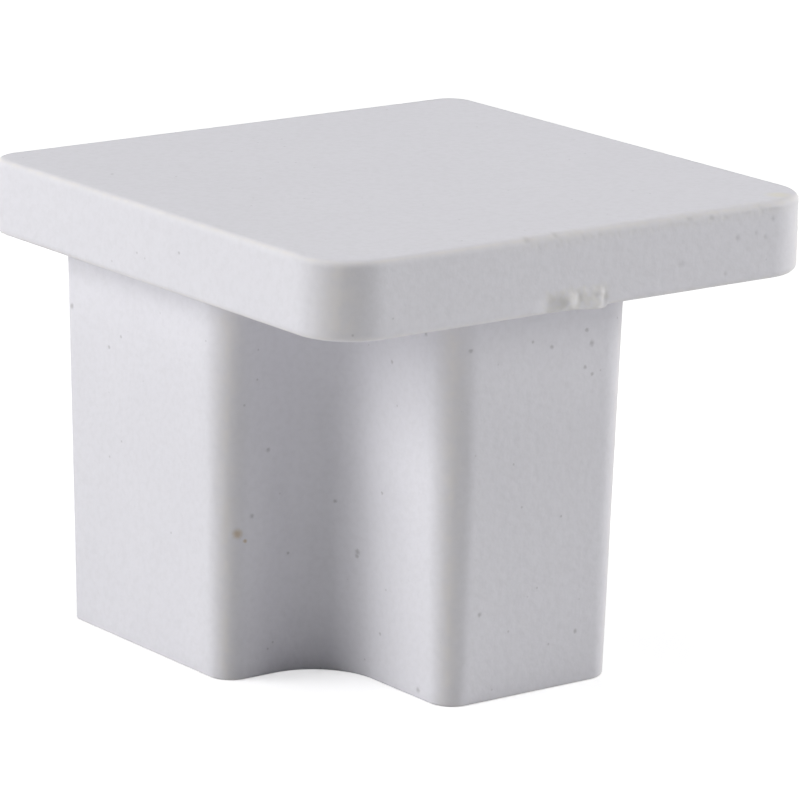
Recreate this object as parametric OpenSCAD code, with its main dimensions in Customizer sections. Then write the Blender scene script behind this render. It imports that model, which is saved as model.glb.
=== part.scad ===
// Push-in end cap for mini trunking: a square flange on a hollow, notched plug.
// It stands on the plug's rim with the flange on top. +Y is the side that faces the wall, -Y the lid side.

/* [Trunking] */
// Outer width of the trunking that the cap closes
trunking_w = 16; // [14:0.5:40]
// Outer depth of the trunking, from the wall to the face of its lid
trunking_d = 16; // [14:0.5:40]
// Thickness of the trunking's side walls
trunking_side_t = 1.2; // [0.8:0.1:1.8]
// Thickness of the trunking's base, which lies on the wall
trunking_base_t = 1.4; // [0.8:0.1:2]
// Thickness of the trunking's lid
trunking_lid_t = 1.4; // [0.8:0.1:2]
// Gap between the plug and the inside of the trunking
fit_gap = 0.2; // [0.05:0.05:0.4]

/* [Flange] */
// Thickness of the flange
flange_t = 2.1; // [1.2:0.1:4]
// Radius of the flange's corners on the lid side
flange_lid_r = 1.6; // [0.7:0.1:3]
// Radius of the flange's corners on the wall side
flange_wall_r = 0.8; // [0.4:0.1:3]
// Rounding of the flange's upper and lower edges
flange_edge_r = 0.2; // [0.1:0.05:0.4]

/* [Plug] */
// Length of the plug below the flange
plug_l = 10.8; // [6:0.1:20]
// Taper of the plug's outside, in degrees a side
plug_draft = 1.5; // [0.5:0.1:2.5]
// Radius of the plug's upright edges on the wall side
plug_wall_r = 0.4; // [0.2:0.1:1.5]
// Fillet between the plug and the flange's underside
plug_root_r = 0.15; // [0.05:0.05:0.4]
// Rounding of the rim's outer and inner edges
rim_edge_r = 0.1; // [0.05:0.05:0.25]

/* [Notches] */
// Width of each notch, in from the plug's side
notch_w = 3.5; // [2.6:0.05:4]
// Depth of each notch, back from the plug's lid side
notch_d = 5.1; // [3:0.1:6.5]
// Radius of the outer upright edges beside a notch
notch_edge_r = 1; // [0.3:0.1:1.2]
// Radius of the upright corner inside a notch
notch_root_r = 1.5; // [0.3:0.1:1.6]

/* [Hollow] */
// Thickness of the plug's wall at its rim
wall_t = 1; // [0.7:0.1:1.3]
// Taper of the hollow, in degrees a side
hollow_draft = 1; // [0.5:0.1:1.5]
// Radius of the hollow's upright inner corners
hollow_r = 0.4; // [0.1:0.1:0.6]
// Rounding between the hollow's walls and its ceiling
hollow_fillet_r = 0.5; // [0.1:0.1:0.8]

/* [Gate mark] */
// Where the moulding gate broke, along the flange's lid side: its stub begins here and its pit ends here
gate_x = -0.5; // [-2:0.1:2]
// Height of the gate, up from the flange's underside
gate_h = 0.55; // [0.3:0.05:1]
// Width of the stub that stayed on the flange
gate_stub_w = 1.2; // [0.6:0.1:2]
// How far the stub stands out of the flange
gate_stub_proud = 0.12; // [0.05:0.01:0.3]
// Slant of the stub's torn ends
gate_stub_slant = 0.15; // [0:0.05:0.25]
// Width of the pit where the gate tore out
gate_pit_w = 0.7; // [0.4:0.1:1.2]
// Depth of that pit
gate_pit_depth = 0.12; // [0.05:0.01:0.2]

/* [Hidden] */

cap_color = [0.93, 0.93, 0.94];
arc_steps = 8;
edge_steps = 5;
// Upright edges that the taper would make sharper than this keep this radius
sharp_r = 0.1;
// How far a cut or a joined piece runs past the face it meets
lap = 0.4;

top_z = plug_l + flange_t;
plug_w = trunking_w - 2 * (trunking_side_t + fit_gap);
plug_wall_y = trunking_d / 2 - trunking_base_t - fit_gap;
plug_lid_y = trunking_lid_t + fit_gap - trunking_d / 2;
shelf_y = plug_lid_y + notch_d;
tongue_w = plug_w - 2 * notch_w;

// An outline's corner is [point, radius, turn]: turn is 1 at an outer corner and -1 at an inner one.
// The corners run anticlockwise from the left end of the wall side.
flange_corners = [
  [[-trunking_w / 2, trunking_d / 2], flange_wall_r, 1],
  [[-trunking_w / 2, -trunking_d / 2], flange_lid_r, 1],
  [[trunking_w / 2, -trunking_d / 2], flange_lid_r, 1],
  [[trunking_w / 2, trunking_d / 2], flange_wall_r, 1],
];
plug_corners = [
  [[-plug_w / 2, plug_wall_y], plug_wall_r, 1],
  [[-plug_w / 2, shelf_y], notch_edge_r, 1],
  [[-tongue_w / 2, shelf_y], notch_root_r, -1],
  [[-tongue_w / 2, plug_lid_y], notch_edge_r, 1],
  [[tongue_w / 2, plug_lid_y], notch_edge_r, 1],
  [[tongue_w / 2, shelf_y], notch_root_r, -1],
  [[plug_w / 2, shelf_y], notch_edge_r, 1],
  [[plug_w / 2, plug_wall_y], plug_wall_r, 1],
];

function direction(angle) = [cos(angle), sin(angle)];

function turns_before(corners, i) = i == 0 ? 0 : corners[i - 1][2] + turns_before(corners, i - 1);

// An outer corner gets tighter as its outline moves in, and an inner one wider, as far as the notch has room
function radius_at(corner, inset, least_r) =
  corner[2] > 0
    ? max(corner[1] - inset, least_r)
    : min(corner[1] + inset, min(notch_w, notch_d) - max(notch_edge_r - inset, least_r));

// The arc at a corner of an outline that has moved in by inset; angle is the outward way before the corner
function corner_arc(corner, angle, inset, least_r) =
  let (
    turn = corner[2],
    r = turn * radius_at(corner, inset, least_r),
    center = corner[0] - (inset + r) * (direction(angle) + direction(angle + 90 * turn))
  )
  [for (step = [0:arc_steps]) center + r * direction(angle + 90 * turn * step / arc_steps)];

// An outline moved in by inset, as a closed ring of points at height z
function ring(corners, inset, z, least_r = sharp_r) = [
  for (i = [0:len(corners) - 1])
    for (p = corner_arc(corners[i], 90 + 90 * turns_before(corners, i), inset, least_r))
      [p.x, p.y, z]
];

// Inset and height along a quarter round of radius r that ends at height z
function upper_round(r, z) = [
  for (step = [0:edge_steps])
    let (angle = 90 * step / edge_steps)
    [r * (1 - cos(angle)), z - r + r * sin(angle)]
];

// The same along a quarter round that begins at height z
function lower_round(r, z) = [
  for (step = [edge_steps:-1:0])
    let (angle = 90 * step / edge_steps)
    [r * (1 - cos(angle)), z + r - r * sin(angle)]
];

// A solid through rings of equal length, from the lowest to the highest
module loft(rings) {
  count = len(rings[0]);
  last = len(rings) - 1;
  sides = [
    for (level = [0:last - 1], i = [0:count - 1])
      let (a = level * count + i, b = level * count + (i + 1) % count)
      [a, a + count, b + count, b]
  ];
  floor_face = [for (i = [0:count - 1]) i];
  top_face = [for (i = [count - 1:-1:0]) last * count + i];
  polyhedron([for (r = rings) each r], concat([floor_face], sides, [top_face]));
}

module flange() {
  profile = concat(lower_round(flange_edge_r, plug_l), upper_round(flange_edge_r, top_z));
  loft([for (p = profile) ring(flange_corners, p[0], p[1])]);
}

// How far the plug's outside has come in at height z
function plug_inset(z) = (plug_l - z) * tan(plug_draft);

module plug_outside() {
  rim = lower_round(rim_edge_r, 0);
  root = upper_round(plug_root_r, plug_l);
  loft(concat(
    [ring(plug_corners, plug_inset(0) + rim_edge_r, -lap)],
    [for (p = rim) ring(plug_corners, plug_inset(p[1]) + p[0], p[1])],
    [for (p = root) ring(plug_corners, plug_inset(p[1]) - p[0], p[1])],
    [ring(plug_corners, -plug_root_r, plug_l + lap)]
  ));
}

// How far the hollow's wall lies inside the plug's outline at height z
function hollow_inset(z) = plug_inset(0) + wall_t + z * tan(hollow_draft);

module plug_hollow() {
  rim = lower_round(rim_edge_r, 0);
  ceiling = upper_round(hollow_fillet_r, plug_l);
  loft(concat(
    [ring(plug_corners, hollow_inset(0) - rim_edge_r, -2 * lap, hollow_r)],
    [for (p = rim) ring(plug_corners, hollow_inset(p[1]) - p[0], p[1], hollow_r)],
    [for (p = ceiling) ring(plug_corners, hollow_inset(p[1]) + p[0], p[1], hollow_r)]
  ));
}

// Trims the plug flat at its rim
module below_rim() {
  translate([-trunking_w / 2, -trunking_d / 2, -2 * lap])
    cube([trunking_w, trunking_d, 2 * lap]);
}

// What is left of the gate that fed the mould
module gate_stub() {
  translate([gate_x, lap - trunking_d / 2, plug_l])
    rotate([90, 0, 0])
      linear_extrude(lap + gate_stub_proud)
        polygon([
          [0, 0],
          [gate_stub_w, 0],
          [gate_stub_w - gate_stub_slant, gate_h],
          [gate_stub_slant, gate_h],
        ]);
}

// The round pit beside the stub
module gate_pit() {
  pit_r = gate_pit_w / 2;
  ball_r = (pit_r ^ 2 + gate_pit_depth ^ 2) / (2 * gate_pit_depth);
  translate([gate_x - pit_r, gate_pit_depth - ball_r - trunking_d / 2, plug_l + gate_h / 2])
    sphere(ball_r, $fn = 48);
}

module end_cap() {
  color(cap_color)
    difference() {
      union() {
        flange();
        plug_outside();
        gate_stub();
      }
      plug_hollow();
      gate_pit();
      below_rim();
    }
}

end_cap();
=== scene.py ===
"""A moulded end cap for mini trunking, standing on its plug's rim on a pale studio floor."""
import math

import bpy
import numpy as np
from mathutils import Matrix, Vector, noise
from mathutils.bvhtree import BVHTree


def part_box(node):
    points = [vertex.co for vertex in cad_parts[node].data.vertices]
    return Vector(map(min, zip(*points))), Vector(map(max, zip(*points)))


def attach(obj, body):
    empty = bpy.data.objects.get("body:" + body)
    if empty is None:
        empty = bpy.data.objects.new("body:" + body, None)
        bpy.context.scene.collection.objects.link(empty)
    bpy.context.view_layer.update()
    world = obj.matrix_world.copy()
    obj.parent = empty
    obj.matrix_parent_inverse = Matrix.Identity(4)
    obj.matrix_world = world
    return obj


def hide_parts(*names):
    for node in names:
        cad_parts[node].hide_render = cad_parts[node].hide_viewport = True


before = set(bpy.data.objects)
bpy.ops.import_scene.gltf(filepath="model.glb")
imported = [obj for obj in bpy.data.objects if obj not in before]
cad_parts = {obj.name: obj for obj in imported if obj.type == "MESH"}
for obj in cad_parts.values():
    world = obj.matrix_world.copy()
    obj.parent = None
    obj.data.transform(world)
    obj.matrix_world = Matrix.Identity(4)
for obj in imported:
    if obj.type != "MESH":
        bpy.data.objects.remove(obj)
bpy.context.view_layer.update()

# Sizes of the part in millimetres, in the frame's axes: +Y is the wall side and -Y the lid side
MM = 0.001
cap_low, cap_high = (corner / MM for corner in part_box("end_cap"))
HALF_W = cap_high.x
HALF_D = cap_high.y
TOP_Z = cap_high.z
FLANGE_T = 2.1
FLANGE_LID_R = 1.6
FLANGE_WALL_R = 0.8
FLANGE_EDGE_R = 0.2
PLUG_L = TOP_Z - FLANGE_T
PLUG_HALF_W = 6.6
PLUG_WALL_Y = 6.4
PLUG_LID_Y = -6.4
PLUG_DRAFT = math.radians(1.5)
PLUG_WALL_R = 0.4
PLUG_ROOT_R = 0.15
NOTCH_W = 3.5
NOTCH_D = 5.1
NOTCH_EDGE_R = 1.0
NOTCH_ROOT_R = 1.5
WALL_T = 1.0
RIM_EDGE_R = 0.1
HOLLOW_DRAFT = math.radians(1)
HOLLOW_R = 0.4
HOLLOW_FILLET_R = 0.5
SHARP_R = 0.1
SHELF_Y = PLUG_LID_Y + NOTCH_D
TONGUE_HALF_W = PLUG_HALF_W - NOTCH_W

# The place where the moulding gate broke off the flange's lid side
GATE_X = -0.5
GATE_H = 0.55
GATE_W = 1.2
GATE_PROUD = -HALF_D - cap_low.y

# Fineness of the mesh: steps on a rounded corner, and on the straight after each corner of an outline
ARC_STEPS = 18
STRAIGHT_STEPS = [24, 24, 60, 110, 60, 24, 24, 30]
TOP_STEPS = 12
TOP_MARGIN = 0.15
EDGE_STEPS = 8
SIDE_STEPS = 34
SMALL_EDGE_STEPS = 4
UNDERSIDE_STEPS = 6
PLUG_STEPS = 30
RIM_STEPS = 3
HOLLOW_STEPS = 12
CEILING_STEPS = 8

# An outline's stop is its place, its radius and its turn: 1 at an outer corner and -1 at an inner one.
# A stop with turn 0 is a stretch of a straight side, and its radius is half its length.
# The stops run anticlockwise from the left end of the wall side, and both outlines have eight.
STRETCH_HALF = 0.8
flange_stops = [
    (-HALF_W, HALF_D, FLANGE_WALL_R, 1),
    (-HALF_W, SHELF_Y, STRETCH_HALF, 0),
    (-HALF_W, -HALF_D, FLANGE_LID_R, 1),
    (-TONGUE_HALF_W, -HALF_D, STRETCH_HALF, 0),
    (TONGUE_HALF_W, -HALF_D, STRETCH_HALF, 0),
    (HALF_W, -HALF_D, FLANGE_LID_R, 1),
    (HALF_W, SHELF_Y, STRETCH_HALF, 0),
    (HALF_W, HALF_D, FLANGE_WALL_R, 1),
]
plug_stops = [
    (-PLUG_HALF_W, PLUG_WALL_Y, PLUG_WALL_R, 1),
    (-PLUG_HALF_W, SHELF_Y, NOTCH_EDGE_R, 1),
    (-TONGUE_HALF_W, SHELF_Y, NOTCH_ROOT_R, -1),
    (-TONGUE_HALF_W, PLUG_LID_Y, NOTCH_EDGE_R, 1),
    (TONGUE_HALF_W, PLUG_LID_Y, NOTCH_EDGE_R, 1),
    (TONGUE_HALF_W, SHELF_Y, NOTCH_ROOT_R, -1),
    (PLUG_HALF_W, SHELF_Y, NOTCH_EDGE_R, 1),
    (PLUG_HALF_W, PLUG_WALL_Y, PLUG_WALL_R, 1),
]


def directions(angles):
    """Unit vectors at these angles."""
    return np.column_stack([np.cos(angles), np.sin(angles)])


def stop_points(stop, angle, inset, least_r):
    """The points of one stop on an outline moved in by inset; angle is the outward way before it."""
    x, y, radius, turn = stop
    place = np.array([x, y])
    before = directions([angle])[0]
    if turn == 0:
        along = directions([angle + math.pi / 2])[0]
        steps = np.linspace(-radius, radius, ARC_STEPS + 1)
        return place - inset * before + steps[:, None] * along
    if turn > 0:
        radius = max(radius - inset, least_r)
    else:
        room = min(NOTCH_W, NOTCH_D) - max(NOTCH_EDGE_R - inset, least_r)
        radius = min(radius + inset, room)
    after = directions([angle + turn * math.pi / 2])[0]
    centre = place - (inset + turn * radius) * (before + after)
    sweep = angle + turn * np.linspace(0, math.pi / 2, ARC_STEPS + 1)
    return centre + turn * radius * directions(sweep)


def ring(stops, inset, z, least_r=SHARP_R):
    """An outline moved in by inset, as a closed ring of points at height z."""
    angle = math.pi / 2
    arcs = []
    for stop in stops:
        arcs.append(stop_points(stop, angle, inset, least_r))
        angle += stop[3] * math.pi / 2
    parts = []
    for i, arc in enumerate(arcs):
        start, end = arc[-1], arcs[(i + 1) % len(arcs)][0]
        share = np.linspace(0, 1, STRAIGHT_STEPS[i] + 2)[1:-1, None]
        parts += [arc, start + share * (end - start)]
    points = np.vstack(parts)
    return np.column_stack([points, np.full(len(points), z)])


def plug_inset(z):
    """How far the plug's outside has come in at height z."""
    return (PLUG_L - z) * math.tan(PLUG_DRAFT)


def hollow_inset(z):
    """How far the hollow's wall lies inside the plug's outline at height z."""
    return plug_inset(0) + WALL_T + z * math.tan(HOLLOW_DRAFT)


def quarter(steps):
    """Sine and cosine along a quarter turn."""
    return [(math.sin(a), math.cos(a)) for a in np.linspace(0, math.pi / 2, steps + 1)]


def between(first, last, steps):
    """Rings spread evenly from one ring to another, without the first."""
    return [first + share * (last - first) for share in np.linspace(0, 1, steps + 1)[1:]]


def flange_rings():
    """The flange from the middle of its top to the inner end of its underside."""
    top_inner = ring(flange_stops, FLANGE_EDGE_R + TOP_MARGIN, TOP_Z)
    rings = between(np.array([0, 0, TOP_Z]), top_inner, TOP_STEPS)
    for s, c in quarter(EDGE_STEPS):
        rings.append(ring(flange_stops, FLANGE_EDGE_R * (1 - s), TOP_Z - FLANGE_EDGE_R * (1 - c)))
    side_low = PLUG_L + FLANGE_EDGE_R
    for z in np.linspace(TOP_Z - FLANGE_EDGE_R, side_low, SIDE_STEPS + 1)[1:]:
        rings.append(ring(flange_stops, 0, z))
    for s, c in quarter(EDGE_STEPS)[1:]:
        rings.append(ring(flange_stops, FLANGE_EDGE_R * (1 - c), side_low - FLANGE_EDGE_R * s))
    root = ring(plug_stops, -PLUG_ROOT_R, PLUG_L)
    return rings + between(rings[-1], root, UNDERSIDE_STEPS)


def plug_rings():
    """The plug's outside from its root down to the outer edge of its rim."""
    rings = []
    for s, c in quarter(SMALL_EDGE_STEPS)[1:]:
        z = PLUG_L - PLUG_ROOT_R * (1 - c)
        rings.append(ring(plug_stops, plug_inset(z) - PLUG_ROOT_R * (1 - s), z))
    for z in np.linspace(PLUG_L - PLUG_ROOT_R, RIM_EDGE_R, PLUG_STEPS + 1)[1:]:
        rings.append(ring(plug_stops, plug_inset(z), z))
    for s, c in quarter(SMALL_EDGE_STEPS)[1:]:
        z = RIM_EDGE_R * (1 - s)
        rings.append(ring(plug_stops, plug_inset(z) + RIM_EDGE_R * (1 - c), z))
    return rings


def hollow_rings(rim, ceiling_middle):
    """The rim's flat, the hollow's walls and its ceiling, up to the ceiling's middle."""
    rings = between(rim, ring(plug_stops, hollow_inset(0) - RIM_EDGE_R, 0, HOLLOW_R), RIM_STEPS)
    for s, c in quarter(SMALL_EDGE_STEPS)[1:]:
        z = RIM_EDGE_R * (1 - c)
        rings.append(ring(plug_stops, hollow_inset(z) - RIM_EDGE_R * (1 - s), z, HOLLOW_R))
    for z in np.linspace(RIM_EDGE_R, PLUG_L - HOLLOW_FILLET_R, HOLLOW_STEPS + 1)[1:]:
        rings.append(ring(plug_stops, hollow_inset(z), z, HOLLOW_R))
    for s, c in quarter(EDGE_STEPS)[1:]:
        z = PLUG_L - HOLLOW_FILLET_R * (1 - s)
        rings.append(ring(plug_stops, hollow_inset(z) + HOLLOW_FILLET_R * (1 - c), z, HOLLOW_R))
    return rings + between(rings[-1], ceiling_middle, CEILING_STEPS)[:-1]


def skin_faces(count, levels):
    """Faces of a closed skin: a point, then levels of rings of count points each, then a point."""
    faces = [(0, 1 + i, 1 + (i + 1) % count) for i in range(count)]
    for level in range(levels - 1):
        base = 1 + level * count
        for i in range(count):
            a, b = base + i, base + (i + 1) % count
            faces.append((a, a + count, b + count, b))
    base = 1 + (levels - 1) * count
    end = 1 + levels * count
    faces += [(base + i, end, base + (i + 1) % count) for i in range(count)]
    return faces


def soft_step(values, start, end):
    """0 before start, 1 past end, and a soft rise between."""
    share = np.clip((values - start) / (end - start), 0, 1)
    return share * share * (3 - 2 * share)


def soft_noise(points, grain, seed):
    """Smooth noise from about -1 to 1, with lumps of about the size of grain."""
    shift = Vector((seed, seed, seed))
    return np.array([noise.noise(Vector(point) / grain + shift) for point in points])


# The camera stands where the photograph's did, on a long lens; angles in degrees, the rest in millimetres
CAMERA_AZIMUTH = -37.01
CAMERA_ELEVATION = 14.39
CAMERA_ROLL = 1.06
CAMERA_DISTANCE = 142.8
CAMERA_RIGHT = 0.22
CAMERA_UP = 6.46
CAMERA_LENS = 235.1
CAMERA_SENSOR = 36
CAMERA_NEAR = 10
CAMERA_FAR = 5000

# The photograph's width and height. A pixel in it lies u right of its left border and v below its top.
PHOTO_SIZE = 800


def look_back(azimuth, elevation):
    """The way from the part to a camera or a lamp; azimuth 0 is the lid side and 90 the side of +X."""
    a, e = math.radians(azimuth), math.radians(elevation)
    return Vector((math.sin(a) * math.cos(e), -math.cos(a) * math.cos(e), math.sin(e)))


def camera_axes():
    """The camera's ways to the right, up and back, and the place of its eye in millimetres."""
    back = look_back(CAMERA_AZIMUTH, CAMERA_ELEVATION)
    level = Vector((0, 0, 1)).cross(back).normalized()
    roll = math.radians(CAMERA_ROLL)
    right = math.cos(roll) * level + math.sin(roll) * back.cross(level)
    up = back.cross(right)
    eye = CAMERA_DISTANCE * back + CAMERA_RIGHT * right + CAMERA_UP * up
    return right, up, back, eye


def photo_ray(u, v):
    """The eye's place and the way from it through a pixel of the photograph."""
    right, up, back, eye = camera_axes()
    pixel = CAMERA_SENSOR / CAMERA_LENS / PHOTO_SIZE
    middle = PHOTO_SIZE / 2
    return eye, pixel * (u - middle) * right - pixel * (v - middle) * up - back


def seen_on_lid_side(u, v):
    """How far across and how far below the top a pixel lies on the flange's lid side."""
    eye, ray = photo_ray(u, v)
    place = eye - ray * (eye.y + HALF_D) / ray.y
    return place.x, TOP_Z - place.z


def seen_on_skin(skin, u, v):
    """The place on the cap's skin that a pixel shows, in millimetres."""
    return skin.ray_cast(*photo_ray(u, v))[0]


# How far in from the lid side's face its wear is looked for, and how far round the gate its tear is
LID_SIDE_DEPTH = 0.5
GATE_REACH = 2

# What the torn gate left, as lumps on the lid side: across and up from the gate's lower left corner,
# how far each reaches across and up, and how far it stands out. The first is the pit, the last the groove.
GATE_LUMPS = [
    (-0.70, 0.28, 0.27, 0.20, -0.065),
    (-0.25, 0.10, 0.07, 0.06, 0.02),
    (-0.11, 0.30, 0.22, 0.16, 0.08),
    (0.24, 0.28, 0.10, 0.15, -0.04),
    (0.56, 0.44, 0.16, 0.06, 0.02),
    (0.92, 0.40, 0.13, 0.07, 0.045),
    (1.12, 0.20, 0.08, 0.18, -0.035),
]

# The gate's torn stub: how far its flat stands out, how wavy the flat is and how fine those waves are,
# how ragged and how fine the tear's outline is, and over what stretch each edge of the stub rises
STUB_PROUD = 0.03
STUB_WAVE = 0.012
STUB_WAVE_GRAIN = 0.13
TEAR_RAGGED = 0.1
TEAR_GRAIN = 0.2
STUB_LEFT_RISE = (-0.5, 0.1)
STUB_RIGHT_RISE = (0, 0.3)
STUB_TOP_RISE = (0, 0.15)
STUB_FOOT_RISE = (0.01, 0.08)

# The lip that hangs below the stub: its height, its drop, how far it passes the stub and how it fades
LIP_H = 0.15
LIP_DROP = 0.09
LIP_PAST_STUB = 0.1
LIP_TOP_FADE = (0, 0.1)
LIP_BACK_FADE = (0, 0.3)

# The torn skin round the stub: its height, how far it passes the stub and how it fades
TORN_H = 0.68
TORN_PAST_STUB = 0.15
TORN_LEFT_FADE = (-1.0, -0.6)
TORN_RIGHT_FADE = (0, 0.2)
TORN_TOP_FADE = (0, 0.15)


def tear_gate(points):
    """Leaves the gate's torn stub and pit on the flange's lid side, and says where the skin is torn."""
    on_lid_side = (points[:, 1] < LID_SIDE_DEPTH - HALF_D) & (points[:, 2] >= PLUG_L)
    near = on_lid_side & (np.abs(points[:, 0] - GATE_X) < GATE_REACH)
    patch = points[near]
    across = patch[:, 0] - GATE_X
    up = patch[:, 2] - PLUG_L
    ragged = TEAR_RAGGED * soft_noise(patch, TEAR_GRAIN, 3)
    stub = soft_step(across + ragged, *STUB_LEFT_RISE)
    stub *= soft_step(GATE_W - across + ragged, *STUB_RIGHT_RISE)
    stub *= soft_step(GATE_H - up + ragged, *STUB_TOP_RISE)
    out = stub * (STUB_PROUD + STUB_WAVE * soft_noise(patch, STUB_WAVE_GRAIN, 7))
    for at_across, at_up, reach_across, reach_up, proud in GATE_LUMPS:
        away = ((across - at_across) / reach_across) ** 2 + ((up - at_up) / reach_up) ** 2
        out += proud * np.exp(-away)
    filled = stub * soft_step(up, *STUB_FOOT_RISE) * (patch[:, 1] + HALF_D)
    lip = soft_step(LIP_H - up, *LIP_TOP_FADE)
    lip *= soft_step(LID_SIDE_DEPTH - HALF_D - patch[:, 1], *LIP_BACK_FADE)
    lip *= soft_step(across, 0, GATE_W) * soft_step(GATE_W + LIP_PAST_STUB - across, 0, LIP_PAST_STUB)
    patch[:, 1] = np.maximum(patch[:, 1] - filled - out, -HALF_D - GATE_PROUD)
    patch[:, 2] -= LIP_DROP * lip
    points[near] = patch
    zone = soft_step(across + ragged, *TORN_LEFT_FADE)
    zone *= soft_step(GATE_W + TORN_PAST_STUB - across + ragged, *TORN_RIGHT_FADE)
    torn = np.zeros(len(points))
    torn[near] = zone * soft_step(TORN_H - up + ragged, *TORN_TOP_FADE)
    return torn


# Small pits and dents in the flange's lid side: the photograph's pixel u, v that shows each one, and its
# reach across and down in millimetres. Their depth is a share of their reach down.
SIDE_PITS = [
    (711, 218, 0.07, 0.06),
    (690, 219, 0.08, 0.05),
    (773, 219, 0.06, 0.06),
    (765, 237, 0.06, 0.06),
    (756, 233, 0.05, 0.05),
    (737, 238, 0.07, 0.07),
    (681, 265, 0.07, 0.07),
    (725, 274, 0.05, 0.05),
    (528, 241, 0.09, 0.06),
    (557, 236, 0.07, 0.05),
]
PIT_DEPTH = 0.2

# The way in along Y and Z on the rounded upper edge; on the flat below it the way in is Y alone
EDGE_IN_Y = 0.5
EDGE_IN_Z = -0.7

# The scuffed band along that edge: its height, how it fades down and along the edge, how fine it is,
# how deep its nicks are and how they and the scuffs rise out of the noise
SCUFF_H = 0.5
SCUFF_DOWN_FADE = (0, 0.35)
SCUFF_ALONG_FADE = (-3.5, -1.5)
SCUFF_GRAIN = 0.14
SCUFF_RISE = (-0.3, 0.3)
SCUFF_LEAST = 0.5
SCUFF_SHARE = 0.5
NICK_DEPTH = 0.008
NICK_RISE = (0.05, 0.5)

# A broken burr near the right end of that edge: how far below the top it lies, its reach and its height,
# where along the edge it begins and ends, how long its pieces are and how they rise out of the noise
BURR_BELOW = 0.13
BURR_REACH = 0.05
BURR_PROUD = 0.03
BURR_START = (4.2, 5.8)
BURR_END = 6.9
BURR_END_FADE = (0, 0.3)
BURR_GRAIN = 0.5
BURR_RISE = (-0.4, 0.2)


def burr_height(across, below):
    """How far the burr stands out at these places along the edge and below the top."""
    line = np.column_stack([across, 0 * across, 0 * across])
    pieces = soft_step(soft_noise(line, BURR_GRAIN, 5), *BURR_RISE)
    along = soft_step(across, *BURR_START) * soft_step(BURR_END - across, *BURR_END_FADE)
    return BURR_PROUD * pieces * along * np.exp(-((below - BURR_BELOW) / BURR_REACH) ** 2)


def wear_lid_edge(points):
    """Pits, nicks and burrs the flange's lid side, and says where it is scuffed and where its pits are
    darkened.
    """
    near = (points[:, 1] < LID_SIDE_DEPTH - HALF_D) & (points[:, 2] > PLUG_L)
    patch = points[near]
    across = patch[:, 0]
    below = TOP_Z - patch[:, 2]
    tilt = soft_step(FLANGE_EDGE_R - below, 0, FLANGE_EDGE_R)
    inward = np.column_stack([0 * tilt, 1 - (1 - EDGE_IN_Y) * tilt, EDGE_IN_Z * tilt])
    outer = soft_step(-HALF_D + FLANGE_EDGE_R + TOP_MARGIN - patch[:, 1], 0, TOP_MARGIN)
    band = outer * soft_step(SCUFF_H - below, *SCUFF_DOWN_FADE) * soft_step(across, *SCUFF_ALONG_FADE)
    rough = soft_noise(patch, SCUFF_GRAIN, 11)
    depth = NICK_DEPTH * band * soft_step(rough, *NICK_RISE)
    scuffed = np.zeros(len(points))
    scuffed[near] = band * (SCUFF_LEAST + (1 - SCUFF_LEAST) * soft_step(rough, *SCUFF_RISE))
    pit_darkened = np.zeros(len(points))
    for u, v, reach_across, reach_down in SIDE_PITS:
        x, down = seen_on_lid_side(u, v)
        away = ((across - x) / reach_across) ** 2 + ((below - down) / reach_down) ** 2
        pit = outer * np.exp(-away)
        depth += PIT_DEPTH * reach_down * pit
        # The pit's colour is darkened too
        pit_darkened[near] += pit
    patch += depth[:, None] * inward
    patch[:, 1] -= outer * burr_height(across, below)
    points[near] = patch
    return scuffed, pit_darkened


def rubbed_and_highlit_edges(points, normals):
    """1 along the middle of each rounded outer edge, for its rubbed tint and painted highlight, and 0 on
    flat faces and inside the notches.
    """
    lean = 1 - np.abs(normals).max(axis=1)
    rounded = np.clip(lean / (1 - math.sqrt(0.5)), 0, 1)
    x, y, z = points.T
    inside = (np.abs(x) < PLUG_HALF_W - NOTCH_EDGE_R) & (y > PLUG_LID_Y + NOTCH_EDGE_R) & (z < PLUG_L)
    return np.where(inside, 0, rounded)


def set_share(mesh, name, shares):
    """Stores one number per point, which a material reads by its name."""
    mesh.attributes.new(name, "FLOAT", "POINT").data.foreach_set("value", shares.astype(np.float32))


def cap_mesh():
    """The whole cap as one closed skin, from the middle of its top round to the hollow's ceiling."""
    # The ceiling's middle is a point from which its whole outline can be seen
    ceiling_middle = np.array([0, (PLUG_WALL_Y + SHELF_Y) / 4, PLUG_L])
    outside = flange_rings() + plug_rings()
    rings = outside + hollow_rings(outside[-1], ceiling_middle)
    points = np.vstack([[(0, 0, TOP_Z)], *rings, [ceiling_middle]])
    torn = tear_gate(points)
    scuffed, pit_darkened = wear_lid_edge(points)
    mesh = bpy.data.meshes.new("cap_body")
    mesh.from_pydata((points * MM).tolist(), [], skin_faces(len(rings[0]), len(rings)))
    mesh.shade_smooth()
    normals = np.empty(3 * len(points), np.float32)
    mesh.vertex_normals.foreach_get("vector", normals)
    set_share(mesh, "worn", np.maximum(torn, SCUFF_SHARE * scuffed))
    # Where the pits' colour is darkened
    set_share(mesh, "pit_darkened", pit_darkened)
    # Where the rounded edges get a rubbed tint and a painted highlight
    set_share(mesh, "rubbed_and_highlit", rubbed_and_highlit_edges(points, normals.reshape(-1, 3)))
    return mesh


def cap_skin(mesh):
    """The cap's surface in millimetres, for finding the place that a pixel shows."""
    places = [vertex.co / MM for vertex in mesh.vertices]
    return BVHTree.FromPolygons(places, [face.vertices[:] for face in mesh.polygons])


def make_node(tree, kind, inputs=(), **settings):
    """Adds a shader node; inputs are values or other nodes' outputs by socket name or number."""
    made = tree.nodes.new(kind)
    for key, value in settings.items():
        setattr(made, key, value)
    for key, value in dict(inputs).items():
        if isinstance(value, bpy.types.NodeSocket):
            tree.links.new(value, made.inputs[key])
        else:
            made.inputs[key].default_value = value
    return made


def arithmetic(tree, operation, first, second):
    """The result of a sum on two numbers."""
    return make_node(tree, "ShaderNodeMath", {0: first, 1: second}, operation=operation).outputs[0]


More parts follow.
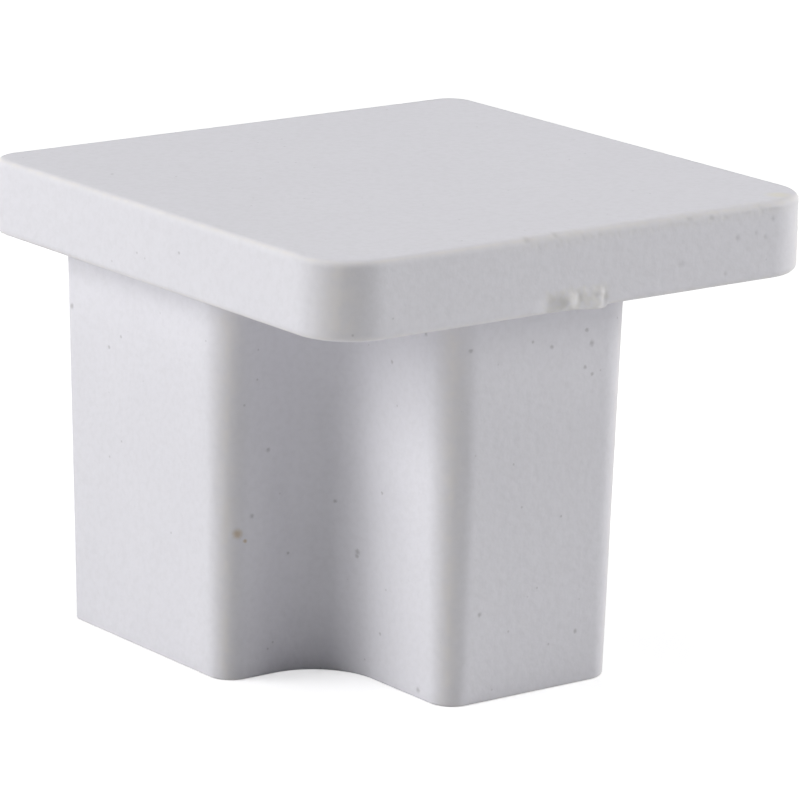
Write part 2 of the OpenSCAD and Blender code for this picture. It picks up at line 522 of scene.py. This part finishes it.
def blend(tree, share, first, second):
    """A colour between two others."""
    return make_node(tree, "ShaderNodeMix", {0: share, 6: first, 7: second}, data_type="RGBA").outputs[2]


def ramp(tree, value, start, end, low=0.0, high=1.0):
    """A number that goes softly from low at start to high at end."""
    inputs = {0: value, 1: start, 2: end, 3: low, 4: high}
    return make_node(tree, "ShaderNodeMapRange", inputs, interpolation_type="SMOOTHSTEP").outputs[0]


def cloud(tree, place, grain, detail=2.0):
    """Noise from 0 to 1 with lumps of about the size of grain in millimetres."""
    inputs = {"Vector": place, "Scale": 1 / (grain * MM), "Detail": detail}
    return make_node(tree, "ShaderNodeTexNoise", inputs).outputs["Fac"]


def new_material(name):
    """An empty node material, its tree and its output node."""
    material = bpy.data.materials.new(name)
    material.use_nodes = True
    material.node_tree.nodes.clear()
    return material, material.node_tree, material.node_tree.nodes.new("ShaderNodeOutputMaterial")


def stored(tree, name):
    """A number that the mesh stores per point."""
    return make_node(tree, "ShaderNodeAttribute", attribute_name=name).outputs["Fac"]


def mix_shaders(tree, share, first, second):
    """A shader between two others."""
    return make_node(tree, "ShaderNodeMixShader", {0: share, 1: first, 2: second}).outputs[0]


# The specks' outlines: how fine their unevenness is and how far it goes, in millimetres, and between what
# shares of its radius a speck fades
SPECK_GRAIN = 0.08
SPECK_SHIFT = 0.07
SPECK_FADE = (0.2, 2)

# Specks of dirt in and on the plastic: the photograph's pixel u, v that shows each one, and its radius in
# millimetres
SPECKS = [
    (268, 450, 0.05),
    (335, 501, 0.04),
    (288, 553, 0.03),
    (252, 516, 0.05),
    (357.5, 552, 0.06),
    (357, 556, 0.05),
    (382, 493, 0.035),
    (426, 333.5, 0.05),
    (418, 690, 0.06),
    (380, 634, 0.035),
    (392, 362, 0.04),
    (479.5, 615, 0.05),
    (575, 631, 0.045),
    (592, 343, 0.065),
    (585, 367, 0.045),
    (592, 374, 0.04),
    (587, 330, 0.045),
    (552, 347, 0.045),
    (533, 342, 0.035),
    (561, 516, 0.03),
    (471, 351, 0.04),
    (72, 306, 0.06),
    (109, 347, 0.04),
    (121, 337, 0.035),
    (179, 253, 0.035),
    (112, 174, 0.04),
]
BROWN_SPECKS = [
    (237.5, 534, 0.10),
    (245, 541, 0.04),
]
YELLOWED_SPOTS = [
    (779, 195, 0.25),
]

# Colours of the plastic, of its wear, of the painted highlight on its rounded edges, of the darkening in
# its pits and of what lies on it
PLASTIC_DARK = (0.775, 0.768, 0.81, 1)
PLASTIC_PALE = (0.80, 0.793, 0.835, 1)
MOTTLED = (0.72, 0.712, 0.745, 1)
# A warm rubbed tint and a painted highlight, lighter than the plastic, along the rounded edges
RUBBED_AND_HIGHLIT = (0.83, 0.806, 0.804, 1)
TORN = (0.77, 0.757, 0.752, 1)
# The colour of the dust and specks, which also darkens the pits
DIRT_AND_PIT_DARK = (0.36, 0.35, 0.36, 1)
BROWN = (0.52, 0.38, 0.20, 1)
YELLOWED = (0.79, 0.765, 0.70, 1)

# How far each of these covers the plastic where it is strongest
MOTTLE_SHARE = 0.35
DUST_SHARE = 0.35
SPECK_SHARE = 0.5
PIT_DARKENING_SHARE = 0.28
BROWN_SHARE = 0.6
YELLOWED_SHARE = 0.9

# How fine the plastic's patterns are, in millimetres, and how they rise out of the noise
CLOUD_GRAIN = 2.4
CLOUD_DETAIL = 3.0
MOTTLE_GRAIN = 0.18
MOTTLE_RISE = (0.35, 0.75)
# The rubbed tint and painted highlight along the rounded edges
RUB_AND_HIGHLIGHT_GRAIN = 0.4
RUB_AND_HIGHLIGHT_RISE = (0.35, 0.65)
RUB_AND_HIGHLIGHT_SHARES = (0.5, 1.0)
TORN_GRAIN = 0.2
TORN_RISE = (0.35, 0.6)
TORN_SHARES = (0.35, 1.0)
DUST_PER_MM = 1.3
DUST_FADE = (0.02, 0.06)

# The plastic's matt skin: its gloss and roughness, how much rougher it is where torn, and its fine grain
GLOSS = 0.2
ROUGHNESS = (0.68, 0.74)
ROUGHNESS_GRAIN = 0.6
ROUGHNESS_RISE = (0.3, 0.7)
TORN_ROUGHER = 0.15
SKIN_GRAIN = 0.26
SKIN_HEIGHT = 0.022
SKIN_STRENGTH = 0.5


def ragged_place(tree, place):
    """The place, moved a little to and fro, so that what is drawn there gets an uneven outline."""
    inputs = {"Vector": place, "Scale": 1 / (SPECK_GRAIN * MM)}
    shift = make_node(tree, "ShaderNodeTexNoise", inputs).outputs["Color"]
    inputs = {0: shift, 1: (0.5, 0.5, 0.5)}
    shift = make_node(tree, "ShaderNodeVectorMath", inputs, operation="SUBTRACT").outputs[0]
    inputs = {0: shift, 1: (SPECK_SHIFT * MM,) * 3, 2: place}
    return make_node(tree, "ShaderNodeVectorMath", inputs, operation="MULTIPLY_ADD").outputs[0]


def speck_share(tree, place, skin, specks):
    """1 in the middle of any of these specks on the skin and 0 outside them."""
    full, none = SPECK_FADE
    share = 0.0
    for u, v, radius in specks:
        inputs = {0: place, 1: seen_on_skin(skin, u, v) * MM}
        away = make_node(tree, "ShaderNodeVectorMath", inputs, operation="DISTANCE").outputs["Value"]
        spot = ramp(tree, away, full * radius * MM, none * radius * MM, 1.0, 0.0)
        share = arithmetic(tree, "MAXIMUM", share, spot)
    return share


def plastic_colour(tree, place, patchy):
    """The plastic's colour: faintly clouded and mottled, warmer where rubbed and lighter with a painted
    highlight along the rounded edges, and greyer where torn.
    """
    colour = blend(tree, cloud(tree, place, CLOUD_GRAIN, CLOUD_DETAIL), PLASTIC_DARK, PLASTIC_PALE)
    mottle = ramp(tree, cloud(tree, place, MOTTLE_GRAIN), *MOTTLE_RISE)
    colour = blend(tree, arithmetic(tree, "MULTIPLY", mottle, MOTTLE_SHARE), colour, MOTTLED)
    # The rounded edges get a warm rubbed tint and a painted highlight
    rub_and_highlight = ramp(tree, cloud(tree, place, RUB_AND_HIGHLIGHT_GRAIN), *RUB_AND_HIGHLIGHT_RISE, *RUB_AND_HIGHLIGHT_SHARES)
    colour = blend(tree, arithmetic(tree, "MULTIPLY", stored(tree, "rubbed_and_highlit"), rub_and_highlight), colour, RUBBED_AND_HIGHLIT)
    return blend(tree, patchy, colour, TORN)


def dirty_colour(tree, place, skin, colour):
    """This colour under fine dust and specks of dirt, darkened in the pits, and under brown specks and a
    yellowed spot.
    """
    inputs = {"Vector": place, "Scale": DUST_PER_MM / MM}
    cells = make_node(tree, "ShaderNodeTexVoronoi", inputs).outputs["Distance"]
    dust = arithmetic(tree, "MULTIPLY", ramp(tree, cells, *DUST_FADE, 1.0, 0.0), DUST_SHARE)
    ragged = ragged_place(tree, place)
    specks = arithmetic(tree, "MULTIPLY", speck_share(tree, ragged, skin, SPECKS), SPECK_SHARE)
    # The pits are darkened with the same colour as the dust and specks
    pit_darkening = arithmetic(tree, "MULTIPLY", stored(tree, "pit_darkened"), PIT_DARKENING_SHARE)
    dirt = arithmetic(tree, "MAXIMUM", arithmetic(tree, "MAXIMUM", dust, specks), pit_darkening)
    colour = blend(tree, dirt, colour, DIRT_AND_PIT_DARK)
    brown = arithmetic(tree, "MULTIPLY", speck_share(tree, ragged, skin, BROWN_SPECKS), BROWN_SHARE)
    colour = blend(tree, brown, colour, BROWN)
    yellowed = arithmetic(tree, "MULTIPLY", speck_share(tree, ragged, skin, YELLOWED_SPOTS), YELLOWED_SHARE)
    return blend(tree, yellowed, colour, YELLOWED)


def plastic_material(skin):
    """Off-white moulded plastic with a fine matt grain, worn, with a painted highlight along its rounded
    edges, darker in its pits, and specked with dirt on the cap's skin.
    """
    material, tree, output = new_material("moulded_plastic")
    place = make_node(tree, "ShaderNodeTexCoord").outputs["Object"]
    patches = ramp(tree, cloud(tree, place, TORN_GRAIN), *TORN_RISE, *TORN_SHARES)
    patchy = arithmetic(tree, "MULTIPLY", stored(tree, "worn"), patches)
    colour = dirty_colour(tree, place, skin, plastic_colour(tree, place, patchy))
    roughness = ramp(tree, cloud(tree, place, ROUGHNESS_GRAIN), *ROUGHNESS_RISE, *ROUGHNESS)
    roughness = arithmetic(tree, "ADD", roughness, arithmetic(tree, "MULTIPLY", patchy, TORN_ROUGHER))
    grain = make_node(tree, "ShaderNodeBump", {
        "Strength": SKIN_STRENGTH, "Distance": SKIN_HEIGHT * MM, "Height": cloud(tree, place, SKIN_GRAIN),
    })
    shader = make_node(tree, "ShaderNodeBsdfPrincipled", {
        "Base Color": colour, "Roughness": roughness, "Normal": grain.outputs["Normal"],
        "Specular IOR Level": GLOSS,
    })
    tree.links.new(shader.outputs["BSDF"], output.inputs["Surface"])
    return material


def seen_share(tree):
    """1 for the rays by which a picture shows the background, also in a gloss or through glass."""
    path = make_node(tree, "ShaderNodeLightPath").outputs
    seen = arithmetic(tree, "MAXIMUM", path["Is Camera Ray"], path["Is Glossy Ray"])
    return arithmetic(tree, "MAXIMUM", seen, path["Is Transmission Ray"])


# The white of the floor's glow and of the world
WHITE = (1, 1, 1, 1)

# The floor: its radius in millimetres, its colour, and how far it glows where it is seen
FLOOR_R = 600
FLOOR_COLOUR = (0.8, 0.8, 0.8, 1)
FLOOR_GLOW = 0.55


def floor_material():
    """A pale matt floor that is seen as white where no shadow falls, and not at all from below."""
    material, tree, output = new_material("studio_floor")
    pale = make_node(tree, "ShaderNodeBsdfDiffuse", {"Color": FLOOR_COLOUR}).outputs[0]
    glow = make_node(tree, "ShaderNodeEmission", {"Color": WHITE, "Strength": FLOOR_GLOW}).outputs[0]
    white = make_node(tree, "ShaderNodeAddShader", {0: pale, 1: glow}).outputs[0]
    above = mix_shaders(tree, seen_share(tree), pale, white)
    clear = make_node(tree, "ShaderNodeBsdfTransparent").outputs[0]
    below = make_node(tree, "ShaderNodeNewGeometry").outputs["Backfacing"]
    tree.links.new(mix_shaders(tree, below, above, clear), output.inputs["Surface"])
    return material


def add_object(name, data):
    """Puts a mesh, a lamp or a camera into the scene."""
    made = bpy.data.objects.new(name, data)
    bpy.context.scene.collection.objects.link(made)
    return made


def add_cap():
    """The cap, which stands in for the solid."""
    cap = add_object("cap_body", cap_mesh())
    cap.data.materials.append(plastic_material(cap_skin(cap.data)))
    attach(cap, "root")
    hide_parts("end_cap")


def add_floor():
    """A wide round floor that is open under the rim, so that light from below gets there."""
    inner = ring(plug_stops, plug_inset(0) + RIM_EDGE_R, 0)
    outer = FLOOR_R * inner / np.linalg.norm(inner, axis=1)[:, None]
    count = len(inner)
    faces = [(i, i + count, (i + 1) % count + count, (i + 1) % count) for i in range(count)]
    mesh = bpy.data.meshes.new("studio_floor")
    mesh.from_pydata((np.vstack([inner, outer]) * MM).tolist(), [], faces)
    mesh.materials.append(floor_material())
    add_object("studio_floor", mesh)


# The softboxes: their distance and size in millimetres, then each one's azimuth, elevation and power
SOFTBOX_DISTANCE = 250
SOFTBOX_SIZE = 160
SOFTBOXES = {
    "left_softbox": (-120, 22, 0.5),
    "front_softbox": (40, 25, 0.223),
    "right_softbox": (80, 8, 0.315),
    "top_softbox": (0, 85, 0.21),
}


def add_softbox(name, azimuth, elevation, power):
    """A square lamp that faces the part."""
    lamp = bpy.data.lights.new(name, "AREA")
    lamp.shape = "SQUARE"
    lamp.size = SOFTBOX_SIZE * MM
    lamp.energy = power
    made = add_object(name, lamp)
    back = look_back(azimuth, elevation)
    place = Vector((0, 0, TOP_Z / 2)) + back * SOFTBOX_DISTANCE
    made.matrix_world = Matrix.Translation(place * MM) @ back.to_track_quat("Z", "Y").to_matrix().to_4x4()
    made.visible_camera = False


# The fill light: its strength from above and from below, and between what slopes it goes over
FILL = 0.02
FILL_BELOW = 0.7
FILL_SLOPES = (-0.2, -0.05)


def add_world():
    """A fill light, stronger from below for the underside, and seen as white."""
    world = bpy.data.worlds.new("studio_world")
    bpy.context.scene.world = world
    world.use_nodes = True
    tree = world.node_tree
    tree.nodes.clear()
    way = make_node(tree, "ShaderNodeTexCoord").outputs["Generated"]
    slope = make_node(tree, "ShaderNodeSeparateXYZ", {0: way}).outputs["Z"]
    strength = ramp(tree, slope, *FILL_SLOPES, FILL_BELOW, FILL)
    light = make_node(tree, "ShaderNodeBackground", {"Color": WHITE, "Strength": strength}).outputs[0]
    white = make_node(tree, "ShaderNodeBackground", {"Color": WHITE, "Strength": 1.0}).outputs[0]
    output = tree.nodes.new("ShaderNodeOutputWorld")
    tree.links.new(mix_shaders(tree, seen_share(tree), light, white), output.inputs["Surface"])


def add_camera():
    """The camera that takes the picture."""
    right, up, back, eye = camera_axes()
    data = bpy.data.cameras.new("camera")
    data.sensor_width = CAMERA_SENSOR
    data.lens = CAMERA_LENS
    data.clip_start = CAMERA_NEAR * MM
    data.clip_end = CAMERA_FAR * MM
    camera = add_object("camera", data)
    camera.matrix_world = Matrix.Translation(eye * MM) @ Matrix((right, up, back)).transposed().to_4x4()
    bpy.context.scene.camera = camera


add_cap()
add_floor()
for name, (azimuth, elevation, power) in SOFTBOXES.items():
    add_softbox(name, azimuth, elevation, power)
add_world()
add_camera()
bpy.context.scene.view_settings.view_transform = "Standard"
